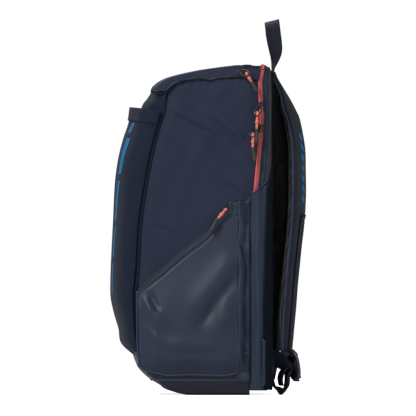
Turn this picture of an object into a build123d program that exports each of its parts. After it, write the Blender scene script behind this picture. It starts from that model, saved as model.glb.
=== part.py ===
from build123d import *
import math
import os

# A racket backpack. The origin is the centre of the flat base. +Z is up, -Y is the front
# with the big slip pocket, +Y is the wearer's side, and X runs across the width.

# Driving dimensions, in millimetres
half_width = 137.0      # half width of the body at its textile side panels
wall = 3.0              # every padded textile wall
clear = 0.4             # free gap between pieces that move apart
rear_y = 67.0           # back face of the main compartment
board_y = 94.0          # front face of the back board
back_y = 98.0           # back face of the back board
top_z = 494.5           # top of the racket compartment
base_split = 40.0       # height of the base pan
webbing = 25.0          # webbing width
webbing_gauge = 1.8
bulge = 153.0           # outermost face of the side pockets, from the centre plane
fold_z = 150.0          # fold line of a side pocket's mouth
far = 200.0             # past the bag on every side, for cutting blocks
high = 600.0            # past the bag's top, for cutting blocks
pull_radius = 3.2       # moulded grip of a zip pull
pull_cord_radius = 1.3
sides = {"right": 1, "left": -1}

os.makedirs("parts", exist_ok=True)


def save(piece, label):
    piece.part.label = label
    export_step(piece.part, f"parts/{label}.step")


def block(x_range, y_range, z_range):
    """A plain closed box between three pairs of limits, kept out of any builder."""
    middle = [(r[0] + r[1]) / 2 for r in (x_range, y_range, z_range)]
    size = [abs(r[1] - r[0]) for r in (x_range, y_range, z_range)]
    return Location(middle) * Box(*size, mode=Mode.PRIVATE)


def mirrored(a, b, side):
    return (a * side, b * side)


# The main compartment: at each height, how wide it is, where its side seam stands and how far
# forward its middle reaches.
body_stations = [
    (0, 100, -20, -31),
    (8, 118, -50, -61),
    (20, 128, -64, -78),
    (40, 134, -80, -100),
    (62, 137, -90, -109),
    (150, 137, -100, -125),
    (260, 137, -95, -121),
    (374, 137, -76, -107),
    (436, 137, -60, -94),
    (462, 137, -52, -78),
    (500, 137, -40, -62),
]
# The slip pocket on the front stands further out, from its stitched foot to its open rim.
pocket_stations = [
    (64, 128, -96, -113),
    (80, 133, -101, -127),
    (98, 136, -104, -130),
    (150, 136, -108, -142),
    (230, 136, -102, -140),
    (320, 136, -91, -135),
    (386, 136, -79, -123),
    (433, 136, -65, -111),
]


def station_plan(height, half, seam, front, rear, inset):
    """One horizontal section: straight sides and back, and a front that bows forward."""
    with BuildSketch(Plane.XY.offset(height)) as plan:
        with BuildLine():
            Polyline(
                (half - inset, seam + inset),
                (half - inset, rear - inset),
                (-half + inset, rear - inset),
                (-half + inset, seam + inset),
            )
            ThreePointArc(
                (-half + inset, seam + inset),
                (0, front + inset),
                (half - inset, seam + inset),
            )
        make_face()
    return plan.sketch


def envelope(stations, rear, inset, lift=0.0):
    """The closed volume through a list of stations, shrunk by inset on every side."""
    with BuildPart(mode=Mode.PRIVATE) as volume:
        for place, (height, half, seam, front) in enumerate(stations):
            raised = height + (lift if place == 0 else 0)
            add(station_plan(raised, half, seam, front, rear, inset))
        loft(ruled=True)
    return volume.part


body_outer = envelope(body_stations, rear_y, 0)
body_inner = envelope(body_stations, rear_y, wall, wall)
body_wide = envelope(body_stations, rear_y, -clear)

# The slanted rim that the lid closes on, from front to back, and everything above it
rim = [(-160, 430), (-66, 446), (8, 468), (rear_y + clear, 477)]
with BuildPart() as above_rim:
    with BuildSketch(Plane.YZ.offset(-2 * half_width)):
        with BuildLine():
            Polyline(*rim, (rear_y + clear, high), (rim[0][0], high), close=True)
        make_face()
    extrude(amount=4 * half_width)

# Fixed panels of the main compartment
with BuildPart() as shell:
    add(body_outer)
    add(body_inner, mode=Mode.SUBTRACT)
    add(above_rim.part, mode=Mode.SUBTRACT)

with BuildPart() as base_panel:
    add(shell.part)
    add(block((-far, far), (-far, far), (-wall, base_split)), mode=Mode.INTERSECT)
save(base_panel, "base_panel")

for name, side in sides.items():
    with BuildPart() as side_panel:
        add(shell.part)
        x_range = mirrored(half_width - wall, far, side)
        add(block(x_range, (-far, far), (base_split, high)), mode=Mode.INTERSECT)
    save(side_panel, f"side_panel_{name}")

inner_half = half_width - wall
with BuildPart() as front_panel:
    add(shell.part)
    add(block((-inner_half, inner_half), (-far, 0), (base_split, high)), mode=Mode.INTERSECT)
save(front_panel, "front_panel")

with BuildPart() as divider_panel:
    add(shell.part)
    add(block((-inner_half, inner_half), (0, far), (base_split, high)), mode=Mode.INTERSECT)
save(divider_panel, "divider_panel")

# A stiffener board lies on the base pan.
board_gauge = 2.5
board_width = 170.0
board_depth = 60.0
board_corner = 12.0
board_middle_y = 17.0
with BuildPart() as base_board:
    with BuildSketch(Plane.XY.offset(wall + clear)):
        with Locations((0, board_middle_y)):
            RectangleRounded(board_width, board_depth, board_corner)
    extrude(amount=board_gauge)
    board_edges = base_board.faces().sort_by(Axis.Z)[-1].edges()
    chamfer(board_edges, board_gauge / 4)
save(base_board, "base_board")

# The racket compartment behind the divider: side strips, floor, the fixed strip of its top
gusset_front = rear_y + clear
zip_front_y = 81.0
floor_z = 7.0           # underside of the racket compartment
shoulder_z = 484.0      # where its rear corner starts to slope forward
for name, side in sides.items():
    with BuildPart() as racket_gusset:
        x_range = mirrored(half_width - wall, half_width, side)
        with BuildSketch(Plane.YZ.offset(min(x_range))):
            with BuildLine():
                Polyline(
                    (gusset_front, floor_z),
                    (board_y - clear, floor_z),
                    (board_y - clear, shoulder_z),
                    (zip_front_y, top_z - wall - clear),
                    (gusset_front, top_z - wall - clear),
                    close=True,
                )
            make_face()
        extrude(amount=wall)
    save(racket_gusset, f"racket_gusset_{name}")

with BuildPart() as racket_floor:
    add(block((-inner_half, inner_half), (gusset_front, board_y - clear), (floor_z, floor_z + wall)))
save(racket_floor, "racket_floor")

hinge_y = 60.0
with BuildPart() as racket_gusset_top:
    top_edge = zip_front_y + wall
    add(block((-half_width, half_width), (hinge_y + 3, top_edge), (top_z - wall, top_z)))
save(racket_gusset_top, "racket_gusset_top")

# The stiff back panel leans forward at its top edge.
with BuildPart() as back_board:
    with BuildSketch(Plane.YZ.offset(-half_width)):
        with BuildLine():
            Polyline(
                (board_y, 2 * floor_z),
                (board_y + 2, floor_z + 1),
                (back_y, 2 * floor_z),
                (back_y + 2, shoulder_z),
                (back_y - 1, top_z - 2),
                (back_y - 4, top_z - 2),
                (board_y + 2, shoulder_z),
                close=True,
            )
        make_face()
    extrude(amount=2 * half_width)
save(back_board, "back_board")

# Foam pads under black spacer mesh on the wearer's side; their faces follow the straps.
pad_half = 100.0
pad_root = back_y + 2 + clear
pad_faces = {
    "back_pad_lower": [(pad_root, 60), (107, 60), (110, 128), (113, 176), (117, 230), (pad_root, 240)],
    "back_pad_upper": [(pad_root, 243), (117, 250), (118.4, 300), (118.4, 372), (112.5, 410),
                       (103, 436), (pad_root, 436)],
}
for label, face in pad_faces.items():
    with BuildPart() as back_pad:
        with BuildSketch(Plane.YZ.offset(-pad_half)):
            with BuildLine():
                Polyline(*face, close=True)
            make_face()
        extrude(amount=2 * pad_half)
    save(back_pad, label)

# The lid: a shallow cap with a turned-down wall, hinged along its rear edge
lid_top = [(-82, 457), (-76, 465), (-58, 476), (-33, 482), (-3, 488), (45, 494), (hinge_y, 494.5)]
lid_under = [(hinge_y, 478.5), (8, 470), (-62, 449), (-80, 452)]
with BuildPart() as lid_block:
    with BuildSketch(Plane.YZ.offset(-half_width)):
        with BuildLine():
            Polyline(*lid_top, *lid_under, close=True)
        make_face()
    extrude(amount=2 * half_width)
lid_seam_y = -58.0      # the lid's front corners
lid_nose_y = -84.0      # the furthest reach of its bowed front
plan_z = 400.0
with BuildPart() as lid_plan:
    add(station_plan(plan_z, half_width, lid_seam_y, lid_nose_y, hinge_y + 20, 0))
    extrude(amount=high - plan_z)
with BuildPart() as lid_hollow:
    with BuildSketch(Plane.YZ.offset(-half_width + wall)):
        with BuildLine():
            Polyline(
                (-76, plan_z),
                (-76, 458),
                (-58, 472),
                (-3, 484.5),
                (hinge_y - wall, 491),
                (hinge_y - wall, plan_z),
                close=True,
            )
        make_face()
    extrude(amount=2 * (half_width - wall))
with BuildPart() as hollow_plan:
    add(station_plan(plan_z, half_width, lid_seam_y, lid_nose_y, hinge_y + 20, wall))
    extrude(amount=high - plan_z)
with BuildPart() as lid:
    add(lid_block.part)
    add(lid_plan.part, mode=Mode.INTERSECT)
    add(lid_hollow.part.intersect(hollow_plan.part), mode=Mode.SUBTRACT)
save(lid, "lid")

# The rear strip of the top swings back with its half of the zip.
cap_half = half_width - 8
cap_gauge = 2.6
cap_y_range = (zip_front_y + wall + clear, back_y - 1)
with BuildPart() as racket_cap:
    add(block((-cap_half, cap_half), cap_y_range, (top_z + 1 - cap_gauge, top_z + 1)))
save(racket_cap, "racket_cap")

# The coral zip down each side of the racket compartment
zip_line = [(80.5, 478), (81.5, 440), (83, 410), (78, 350), (74, 306)]
zip_breadth = 6.5
tape_gauge = 1.4
for name, side in sides.items():
    with BuildPart() as racket_zip_tape:
        x_range = mirrored(half_width + 0.1, half_width + tape_gauge, side)
        with BuildSketch(Plane.YZ.offset(min(x_range))):
            with BuildLine():
                behind = [(y + zip_breadth, z) for y, z in reversed(zip_line)]
                Polyline(*zip_line, *behind, close=True)
            make_face()
        extrude(amount=tape_gauge)
    save(racket_zip_tape, f"racket_zip_tape_{name}")

# The big slip pocket on the front, open at its rim
pocket_outer = envelope(pocket_stations, 0, 0)
pocket_inner = envelope(pocket_stations, 0, wall)
foot_z = pocket_stations[0][0]
rim_z = pocket_stations[-1][0]
band_z = 412.0
with BuildPart() as pocket_skin:
    add(pocket_outer)
    add(pocket_inner, mode=Mode.SUBTRACT)
    add(block((-far, far), (-30, 40), (0, high)), mode=Mode.SUBTRACT)
    add(body_wide, mode=Mode.SUBTRACT)
with BuildPart() as front_pocket_panel:
    add(pocket_skin.part)
    add(block((-far, far), (-far, 0), (foot_z, band_z)), mode=Mode.INTERSECT)
save(front_pocket_panel, "front_pocket_panel")
with BuildPart() as front_pocket_band:
    add(pocket_skin.part)
    add(block((-far, far), (-far, 0), (band_z, rim_z - clear)), mode=Mode.INTERSECT)
save(front_pocket_band, "front_pocket_band")

# Side pockets: a coated shell that bulges out, a pleated rear strip, and a mouth that falls open
pocket_front_y = -88.0
pocket_rear_y = 48.0
bellows_rear_y = 65.0
pocket_foot_z = 40.0
skin = 2.4
mouth_x = 139.5
mouth_front_z = 160.0
mouth_rear_z = 284.0


def leaf(plane, low, high, side):
    """A slanted strip of skin, seen in a plane that cuts across the bag."""
    (x0, z0), (x1, z1) = low, high
    with BuildSketch(plane) as strip:
        with BuildLine():
            Polyline(
                (side * x0, z0),
                (side * x1, z1),
                (side * (x1 - skin), z1),
                (side * (x0 - skin), z0),
                close=True,
            )
        make_face()
    return strip.sketch


body_x = half_width + clear
for name, side in sides.items():
    with BuildPart() as side_pocket:
        with BuildSketch(Plane.XZ.offset(-pocket_rear_y)):
            with BuildLine():
                Polyline(
                    (side * body_x, pocket_foot_z),
                    (side * bulge, pocket_foot_z + 18),
                    (side * bulge, fold_z - clear),
                    (side * (bulge - skin), fold_z - clear),
                    (side * (bulge - skin), pocket_foot_z + 20),
                    (side * body_x, pocket_foot_z + skin + 1),
                    close=True,
                )
            make_face()
        extrude(amount=pocket_rear_y - pocket_front_y)
        with BuildSketch(Plane.XZ.offset(-pocket_front_y)):
            with BuildLine():
                Polyline(
                    (side * body_x, pocket_foot_z),
                    (side * (bulge - 1), pocket_foot_z + 18),
                    (side * (bulge - 1), fold_z - clear),
                    (side * body_x, fold_z - clear),
                    close=True,
                )
            make_face()
        extrude(amount=-skin)
    save(side_pocket, f"side_pocket_{name}")

    with BuildPart() as pocket_flap:
        front_plane = Plane.XZ.offset(-pocket_front_y)
        rear_plane = Plane.XZ.offset(-(pocket_rear_y - clear))
        add(leaf(front_plane, (bulge, fold_z + clear), (mouth_x + skin, mouth_front_z), side))
        add(leaf(rear_plane, (bulge, fold_z + clear), (mouth_x + skin, mouth_rear_z), side))
        loft(ruled=True)
    save(pocket_flap, f"pocket_flap_{name}")

    with BuildPart() as pocket_bellows:
        with BuildSketch(Plane.XY.offset(pocket_foot_z)):
            with BuildLine():
                Polyline(
                    (side * body_x, pocket_rear_y + 4),
                    (side * (bulge - 2), pocket_rear_y + clear),
                    (side * (bulge - 3), pocket_rear_y + 4),
                    (side * (body_x + 3), bellows_rear_y),
                    (side * body_x, bellows_rear_y),
                    close=True,
                )
            make_face()
        extrude(amount=fold_z - pocket_foot_z)
        with BuildSketch(Plane.XY.offset(fold_z)):
            with BuildLine():
                Polyline(
                    (side * body_x, pocket_rear_y + 4),
                    (side * (bulge - 4), pocket_rear_y + 1),
                    (side * (bulge - 5), pocket_rear_y + 5),
                    (side * (body_x + 3), bellows_rear_y),
                    (side * body_x, bellows_rear_y),
                    close=True,
                )
            make_face()
        with BuildSketch(Plane.XY.offset(mouth_rear_z + 4)):
            with BuildLine():
                Polyline(
                    (side * body_x, pocket_rear_y + 4),
                    (side * (body_x + 2.2), pocket_rear_y + 2),
                    (side * (body_x + 2.4), pocket_rear_y + 5),
                    (side * (body_x + 2), bellows_rear_y),
                    (side * body_x, bellows_rear_y),
                    close=True,
                )
            make_face()
        loft(ruled=True)
    save(pocket_bellows, f"pocket_bellows_{name}")

# Wing tabs at the lower rear corners hold the adjuster webbing.
tab_gauge = 2.4
tab_rear_y = pad_root + tab_gauge
for name, side in sides.items():
    with BuildPart() as wing_tab:
        with BuildSketch(Plane.XZ.offset(-pad_root)):
            with BuildLine():
                Polyline(
                    (side * 136, 80), (side * 136, 18), (side * 106, 32), (side * 106, 60),
                    close=True,
                )
            make_face()
        extrude(amount=-tab_gauge)
    save(wing_tab, f"wing_tab_{name}")

# The adjuster webbing hangs from the tab in an open loop, seen from the side.
strap_foot_x = 110.0
adjuster_route = [
    (tab_rear_y + 1.4, 58),
    (tab_rear_y + 1.4, 30),
    (112, 8),
    (122, 4.5),
    (130, 10),
    (131, 22),
]
bend_radius = 5.0
for name, side in sides.items():
    with BuildPart() as adjuster_webbing:
        x_range = mirrored(strap_foot_x - webbing / 2, strap_foot_x + webbing / 2, side)
        with BuildSketch(Plane.YZ.offset(min(x_range))):
            with BuildLine():
                FilletPolyline(*adjuster_route, radius=bend_radius)
            trace(line_width=webbing_gauge)
        extrude(amount=webbing)
    save(adjuster_webbing, f"adjuster_webbing_{name}")

# Shoulder straps: stations of height, middle x, middle y of the outer face, breadth, and
# the share of the full gauge, which thins out towards the sewn root
strap_stations = [
    (476, 66, 112, 54, 0.35),
    (452, 67, 121.5, 62, 0.75),
    (416, 70, 134, 66, 1),
    (368, 76, 142.5, 68, 1),
    (320, 82, 143.5, 68, 1),
    (272, 88, 142.5, 66, 1),
    (224, 94, 138, 62, 1),
    (176, 99, 133, 58, 1),
    (128, 103, 129, 54, 1),
    (70, strap_foot_x, 125, 46, 1),
]
strap_turn = math.radians(13)
strap_gauge = 12.0
cover_gauge = 1.6
widest = 62.0           # strap breadth that the webbing's share is taken from
webbing_from = 5        # first station below the print, where the webbing is sewn on


def strap_layer(outer, inner, share, side, stations):
    """One layer of a strap, between two depths below its outer face."""
    with BuildPart(mode=Mode.PRIVATE) as layer:
        for height, x, y, breadth, fullness in stations:
            depth = max(inner * fullness, outer + cover_gauge / 2)
            plane = Plane(
                origin=(side * x, y, height),
                x_dir=(math.cos(strap_turn), -side * math.sin(strap_turn), 0),
                z_dir=(0, 0, 1),
            )
            with BuildSketch(plane):
                with Locations((0, -(outer + depth) / 2)):
                    Rectangle(breadth * share, depth - outer)
        loft(ruled=True)
    return layer.part


for name, side in sides.items():
    with BuildPart() as strap_pad:
        add(strap_layer(cover_gauge, strap_gauge, 1, side, strap_stations))
    save(strap_pad, f"strap_pad_{name}")
    with BuildPart() as strap_cover:
        full_cover = [station[:4] + (1,) for station in strap_stations]
        add(strap_layer(0, cover_gauge, 1, side, full_cover))
    save(strap_cover, f"strap_cover_{name}")
    with BuildPart() as strap_webbing:
        add(strap_layer(-webbing_gauge, -0.01, webbing / widest, side, strap_stations[webbing_from:]))
    save(strap_webbing, f"strap_webbing_{name}")

# Ladder locks on the strap ends
lock_length = 38.0
lock_gauge = 5.0
lock_lean = 0.15        # radians from upright
lock_slots = (-11.0, 0.0, 11.0)
slot_height = 5.5
for name, side in sides.items():
    lock_plane = Plane(
        origin=(side * strap_foot_x, 134, 45),
        x_dir=(1, 0, 0),
        z_dir=(0, math.cos(lock_lean), math.sin(lock_lean)),
    )
    with BuildPart() as ladder_lock:
        with BuildSketch(lock_plane):
            RectangleRounded(webbing + 8, lock_length, 4)
            with Locations(*[(0, up) for up in lock_slots]):
                RectangleRounded(webbing, slot_height, slot_height / 4, mode=Mode.SUBTRACT)
        extrude(amount=lock_gauge / 2, both=True)
    save(ladder_lock, f"ladder_lock_{name}")

# The carry handle: webbing that twists from flat against the back to flat on top of its arch
handle_half = 44.0
handle_route = [
    ((handle_half, 103.2, 486), (0, 0, 1), (1, 0, 0)),
    ((handle_half + 1.5, 106, 506), (0, 0, 1), (0.87, 0.5, 0)),
    ((handle_half + 1, 106.3, 518), (0, 0, 1), (0.6, 0.8, 0)),
    ((handle_half - 4, 103.4, 542), (-0.3, 0, 1), (0, 1, 0)),
    ((28, 101.6, 556), (-1, 0, 0.8), (0, 1, 0)),
    ((0, 100.5, 563.5), (-1, 0, 0), (0, 1, 0)),
]
with BuildPart() as carry_handle:
    for origin, travel, across in handle_route:
        with BuildSketch(Plane(origin=origin, x_dir=across, z_dir=travel)):
            Rectangle(webbing - 2, webbing_gauge)
    loft(ruled=True)
    half_handle = carry_handle.part
    mirror(half_handle, about=Plane.YZ)
save(carry_handle, "carry_handle")

# Zip sliders and their pulls: each slider is a small body with a bridge, and each pull is a
# knotted cord that ends in a moulded grip.
# name: side, slider's middle and heading in the side plane, then the cord's two ends and the
# grip's far end, and how far out from the centre plane the pull lies
pulls = {
    "main_right": (1, (54, 486), 10, (62, 483), (70, 469.5), (79, 454), 148.2),
    "main_left": (-1, (54, 486), 10, (62, 483), (70, 469.5), (79, 454), 148.2),
    "pocket_right": (1, (37, 286), 42, (31, 279), (18.5, 265), (8, 246), 147.6),
    "pocket_left": (-1, (37, 286), 42, (31, 279), (18.5, 265), (8, 246), 147.6),
    "racket_upper": (1, (84.5, 435), 90, (78.5, 424), (77.5, 399), (77.5, 377), 148),
    "racket_lower": (1, (83.5, 401), 90, (72, 392), (71.5, 371), (74.5, 349.5), 148),
}
slider_x = half_width + 1.8
slider_length = 10.0
slider_breadth = 7.0
slider_height = 3.4
bridge_height = 1.2
joint_gap = 0.6
for label, (side, middle, heading, knot, joint_end, tip, out) in pulls.items():
    run = math.radians(heading)
    slider_plane = Plane(
        origin=(side * slider_x, middle[0], middle[1]),
        x_dir=(0, math.cos(run), math.sin(run)),
        z_dir=(side, 0, 0),
    )
    with BuildPart() as slider:
        with BuildSketch(slider_plane):
            RectangleRounded(slider_length, slider_breadth, 2)
        extrude(amount=slider_height)
        with BuildSketch(slider_plane.offset(slider_height)):
            Rectangle(slider_length * 0.6, slider_breadth / 3)
        extrude(amount=bridge_height)
    save(slider, f"slider_{label}")

    start = Vector(side * out, *knot)
    neck = Vector(side * out, *joint_end)
    end = Vector(side * out, *tip)
    with BuildPart() as pull_cord:
        with BuildSketch(Plane(origin=start, z_dir=neck - start)):
            Circle(pull_cord_radius)
        extrude(amount=(neck - start).length - joint_gap)
    save(pull_cord, f"pull_cord_{label}")
    with BuildPart() as pull_grip:
        with BuildSketch(Plane(origin=neck, z_dir=end - neck)):
            Circle(pull_radius)
        extrude(amount=(end - neck).length)
        fillet(pull_grip.edges().filter_by(GeomType.CIRCLE), pull_radius / 3)
    save(pull_grip, f"pull_grip_{label}")
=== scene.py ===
from functools import partial
from math import copysign, cos, exp, hypot, pi, radians, sin, sqrt

import bmesh
import bpy
import numpy as np
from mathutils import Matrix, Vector, noise


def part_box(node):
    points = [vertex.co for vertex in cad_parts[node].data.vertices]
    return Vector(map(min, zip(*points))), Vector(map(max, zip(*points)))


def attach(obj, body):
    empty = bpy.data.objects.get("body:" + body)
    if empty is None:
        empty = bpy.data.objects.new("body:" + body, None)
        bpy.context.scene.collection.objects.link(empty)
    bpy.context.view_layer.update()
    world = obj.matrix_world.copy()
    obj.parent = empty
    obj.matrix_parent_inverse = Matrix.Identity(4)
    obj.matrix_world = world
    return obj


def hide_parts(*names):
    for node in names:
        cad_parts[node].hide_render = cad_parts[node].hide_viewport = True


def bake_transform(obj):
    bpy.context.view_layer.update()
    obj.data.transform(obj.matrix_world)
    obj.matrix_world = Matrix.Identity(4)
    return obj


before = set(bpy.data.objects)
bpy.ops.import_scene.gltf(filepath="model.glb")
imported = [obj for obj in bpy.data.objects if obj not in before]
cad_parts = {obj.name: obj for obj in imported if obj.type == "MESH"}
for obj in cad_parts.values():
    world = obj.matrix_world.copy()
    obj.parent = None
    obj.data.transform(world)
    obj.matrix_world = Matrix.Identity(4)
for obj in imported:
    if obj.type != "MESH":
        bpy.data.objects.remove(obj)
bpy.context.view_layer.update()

# A racket backpack. Lengths in the shape functions are millimetres in the CAD frame:
# +Z is up, -Y is the front with the slip pocket, +Y is the wearer's side.
MM = 0.001
SIDES = {"right": 1, "left": -1}
scene = bpy.context.scene

# Places that the frame gives
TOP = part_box("racket_gusset_top")[1].z / MM
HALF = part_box("side_panel_right")[1].x / MM
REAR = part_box("divider_panel")[1].y / MM
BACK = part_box("back_board")[1].y / MM
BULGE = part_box("side_pocket_right")[1].x / MM


# ---- small tools

def linear(rgb):
    """sRGB 0..255 to the linear colour that shaders take."""
    out = []
    for value in rgb:
        c = value / 255
        out.append(((c + 0.055) / 1.055) ** 2.4 if c > 0.04045 else c / 12.92)
    return (*out, 1.0)


def curve(table, t):
    """A smooth line through (place, value) pairs, flat past both ends."""
    xs = [p[0] for p in table]
    if t <= xs[0]:
        return table[0][1]
    if t >= xs[-1]:
        return table[-1][1]
    i = int(np.searchsorted(xs, t)) - 1
    i = max(0, min(i, len(table) - 2))
    (x0, y0), (x1, y1) = table[i], table[i + 1]
    before = table[max(i - 1, 0)]
    after = table[min(i + 2, len(table) - 1)]
    m0 = (y1 - before[1]) / (x1 - before[0])
    m1 = (after[1] - y0) / (after[0] - x0)
    h = x1 - x0
    s = (t - x0) / h
    return ((2 * s**3 - 3 * s**2 + 1) * y0 + (s**3 - 2 * s**2 + s) * h * m0
            + (-2 * s**3 + 3 * s**2) * y1 + (s**3 - s**2) * h * m1)


def mix(a, b, t):
    return a * (1 - t) + b * t


def step(low, high, t):
    s = min(1, max(0, (t - low) / (high - low)))
    return s * s * (3 - 2 * s)


def signed_power(value, power):
    return copysign(abs(value) ** power, value)


def sampled(point, start, end, count):
    """The points of a line: point(t), with t evenly from start to end."""
    return [point(mix(start, end, i / (count - 1))) for i in range(count)]


def ripple(x, y, z, size, seed=0.0):
    """Smooth noise from about -1 to 1, with features of the given size in millimetres."""
    return noise.noise(Vector((x / size + seed, y / size - seed, z / size + 2 * seed)))


def bump_at(t, centre, breadth):
    return exp(-((t - centre) / breadth) ** 2)


def crease(y, z, start, end, breadth):
    """1 along the line from start to end, fading to 0 across it and beyond its ends."""
    run = (end[0] - start[0], end[1] - start[1])
    length = hypot(*run)
    along = ((y - start[0]) * run[0] + (z - start[1]) * run[1]) / length
    aside = ((y - start[0]) * run[1] - (z - start[1]) * run[0]) / length
    low, high = -0.15 * length, 0.3 * length
    fade = step(low, high, along) * step(low, high, length - along)
    return exp(-(aside / breadth) ** 2) * fade


def finish_mesh(name, verts, faces, material, body, slot=None, uvs=None):
    """Makes the object, which rides its body; its material's slot is looked up but not set."""
    mesh = bpy.data.meshes.new(name)
    mesh.from_pydata([tuple(c * MM for c in v) for v in verts], [], faces)
    mesh.validate()
    if uvs is not None:
        layer = mesh.uv_layers.new(name="UVMap")
        for loop in mesh.loops:
            layer.data[loop.index].uv = uvs[loop.vertex_index]
    mesh.materials.append(material)
    obj = bpy.data.objects.new(name, mesh)
    scene.collection.objects.link(obj)
    mesh.polygons.foreach_set("use_smooth", [True] * len(mesh.polygons))
    if body:
        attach(obj, body)
    slot or SLOT_OF[material.name]
    return obj


def skin(name, shape, nu, nv, material, body="bag", thick=1.6):
    """A panel of cloth: shape(u, v) gives its points, and it gets a real thickness."""
    grid = np.array([[shape(i / nu, j / nv) for i in range(nu + 1)] for j in range(nv + 1)])
    verts = grid.reshape(-1, 3)
    run = np.zeros((nv + 1, nu + 1))
    run[:, 1:] = np.cumsum(np.linalg.norm(np.diff(grid, axis=1), axis=2), axis=1)
    rise = np.zeros((nv + 1, nu + 1))
    rise[1:, :] = np.cumsum(np.linalg.norm(np.diff(grid, axis=0), axis=2), axis=0)
    uvs = np.stack([run.ravel() * MM, rise.ravel() * MM], axis=1)
    faces = []
    for j in range(nv):
        for i in range(nu):
            a = j * (nu + 1) + i
            faces.append((a, a + 1, a + nu + 2, a + nu + 1))
    obj = finish_mesh(name, verts.tolist(), faces, material, body, uvs=uvs)
    solid = obj.modifiers.new("thickness", "SOLIDIFY")
    solid.thickness = thick * MM
    solid.offset = 0.0
    return obj


def ring_faces(rings, sides, base=0, closed=False):
    """Faces through rings of points, which either end in caps or close on themselves."""
    faces = []
    for i in range(rings if closed else rings - 1):
        here, there = base + i * sides, base + (i + 1) % rings * sides
        for k in range(sides):
            after = (k + 1) % sides
            faces.append((here + k, here + after, there + after, there + k))
    if not closed:
        faces.append(tuple(base + k for k in reversed(range(sides))))
        faces.append(tuple(base + (rings - 1) * sides + k for k in range(sides)))
    return faces


# A first guess at a tube's upward direction, which no line here runs along
TUBE_UP = (0.31, 0.17, 0.93)


def tube(name, points, radius, material, body="bag", slot=None, sides=8, flat=1.0, closed=False):
    """A round bead along points, such as piping; flat squeezes it."""
    pts = [Vector(p) for p in points]
    n = len(pts)
    verts, uvs = [], []
    length = 0.0
    up = Vector(TUBE_UP)
    for i, p in enumerate(pts):
        ahead = pts[(i + 1) % n] if closed or i < n - 1 else p
        behind = pts[i - 1] if closed or i > 0 else p
        along = (ahead - behind).normalized()
        side = along.cross(up)
        if side.length < 0.05:
            side = along.cross(Vector((1, 0, 0)))
        side.normalize()
        over = side.cross(along).normalized()
        up = over
        if i:
            length += (p - pts[i - 1]).length
        r = radius(i / max(1, n - 1)) if callable(radius) else radius
        for k in range(sides):
            a = 2 * pi * k / sides
            verts.append(tuple(p + side * (r * cos(a)) + over * (r * flat * sin(a))))
            uvs.append((k / sides * 2 * pi * r * MM, length * MM))
    faces = ring_faces(n, sides, closed=closed)
    return finish_mesh(name, verts, faces, material, body, slot, uvs)


def bake_modifiers(obj):
    """Keeps what the object's modifiers make of it, and drops them."""
    graph = bpy.context.evaluated_depsgraph_get()
    mesh = bpy.data.meshes.new_from_object(obj.evaluated_get(graph))
    obj.modifiers.clear()
    obj.data = mesh
    return mesh


CLOTH_VOXEL = 4.0
CLOTH_FRAMES = 20
CLOTH = {"quality": 10, "vertex_group_mass": "sewn", "use_pressure": True,
         "uniform_pressure_force": 2.5, "tension_stiffness": 40, "compression_stiffness": 40}


def puffed(obj, cap, sewn):
    """Blows a closed soft piece up as cloth, holds its sewn points, and keeps the result."""
    knit = bmesh.new()
    knit.from_mesh(obj.data)
    bmesh.ops.remove_doubles(knit, verts=knit.verts, dist=0.02 * MM)
    bmesh.ops.recalc_face_normals(knit, faces=knit.faces)
    knit.to_mesh(obj.data)
    knit.free()
    grid = obj.modifiers.new("voxels", "REMESH")
    grid.mode = "VOXEL"
    grid.voxel_size = CLOTH_VOXEL * MM
    mesh = bake_modifiers(obj)
    start = np.array([tuple(v.co) for v in mesh.vertices])
    held = obj.vertex_groups.new(name="sewn")
    held.add([i for i, p in enumerate(start) if sewn(*(p / MM))], 1.0, "REPLACE")
    cloth = obj.modifiers.new("cloth", "CLOTH")
    for key, value in CLOTH.items():
        setattr(cloth.settings, key, value)
    cloth.settings.effector_weights.gravity = 0.0
    cloth.point_cache.frame_start = 1
    cloth.point_cache.frame_end = CLOTH_FRAMES
    for frame_number in range(1, CLOTH_FRAMES + 1):
        scene.frame_set(frame_number)
    graph = bpy.context.evaluated_depsgraph_get()
    blown = obj.evaluated_get(graph).to_mesh()
    moved = np.nan_to_num(np.array([tuple(v.co) for v in blown.vertices]) - start)
    far = np.maximum(np.linalg.norm(moved, axis=1), 1e-9)
    moved *= np.minimum(1, cap * MM / far)[:, None]
    start = start + moved
    obj.modifiers.clear()
    scene.frame_set(1)
    mesh.vertices.foreach_set("co", start.ravel())
    finer = obj.modifiers.new("finer", "SUBSURF")
    finer.levels = finer.render_levels = 1
    mesh = bake_modifiers(obj)
    mesh.polygons.foreach_set("use_smooth", [True] * len(mesh.polygons))


ROD_RINGS = ((0.0, 0.55), (0.18, 1.0), (0.82, 1.0), (1.0, 0.55))


def rod_into(verts, faces, a, b, radius, sides=6):
    """Adds one short capped rod, rounded at both ends, to lists of vertices and faces."""
    a, b = Vector(a), Vector(b)
    along = (b - a).normalized()
    side = along.orthogonal().normalized()
    over = along.cross(side)
    faces += ring_faces(len(ROD_RINGS), sides, len(verts))
    for place, share in ROD_RINGS:
        for k in range(sides):
            t = 2 * pi * k / sides
            offset = side * cos(t) + over * sin(t)
            verts.append(tuple(a.lerp(b, place) + offset * radius * share))


def along_line(points, spacing):
    """Points every spacing millimetres along a line."""
    pts = np.array(points, float)
    place = np.concatenate([[0], np.cumsum(np.linalg.norm(np.diff(pts, axis=0), axis=1))])
    at = np.arange(spacing / 2, place[-1], spacing)
    return np.stack([np.interp(at, place, pts[:, k]) for k in range(3)], axis=1)


STITCH_PITCH = 3.2
STITCH_RADIUS = 0.32


def stitching(name, points, body):
    """A row of lockstitches along a line that already lies on the cloth."""
    verts, faces = [], []
    marks = along_line(points, STITCH_PITCH / 2)
    for i in range(0, len(marks) - 1, 2):
        rod_into(verts, faces, marks[i], marks[i + 1], STITCH_RADIUS, 5)
    return finish_mesh(name, verts, faces, THREAD, body)


# ---- materials

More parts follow.
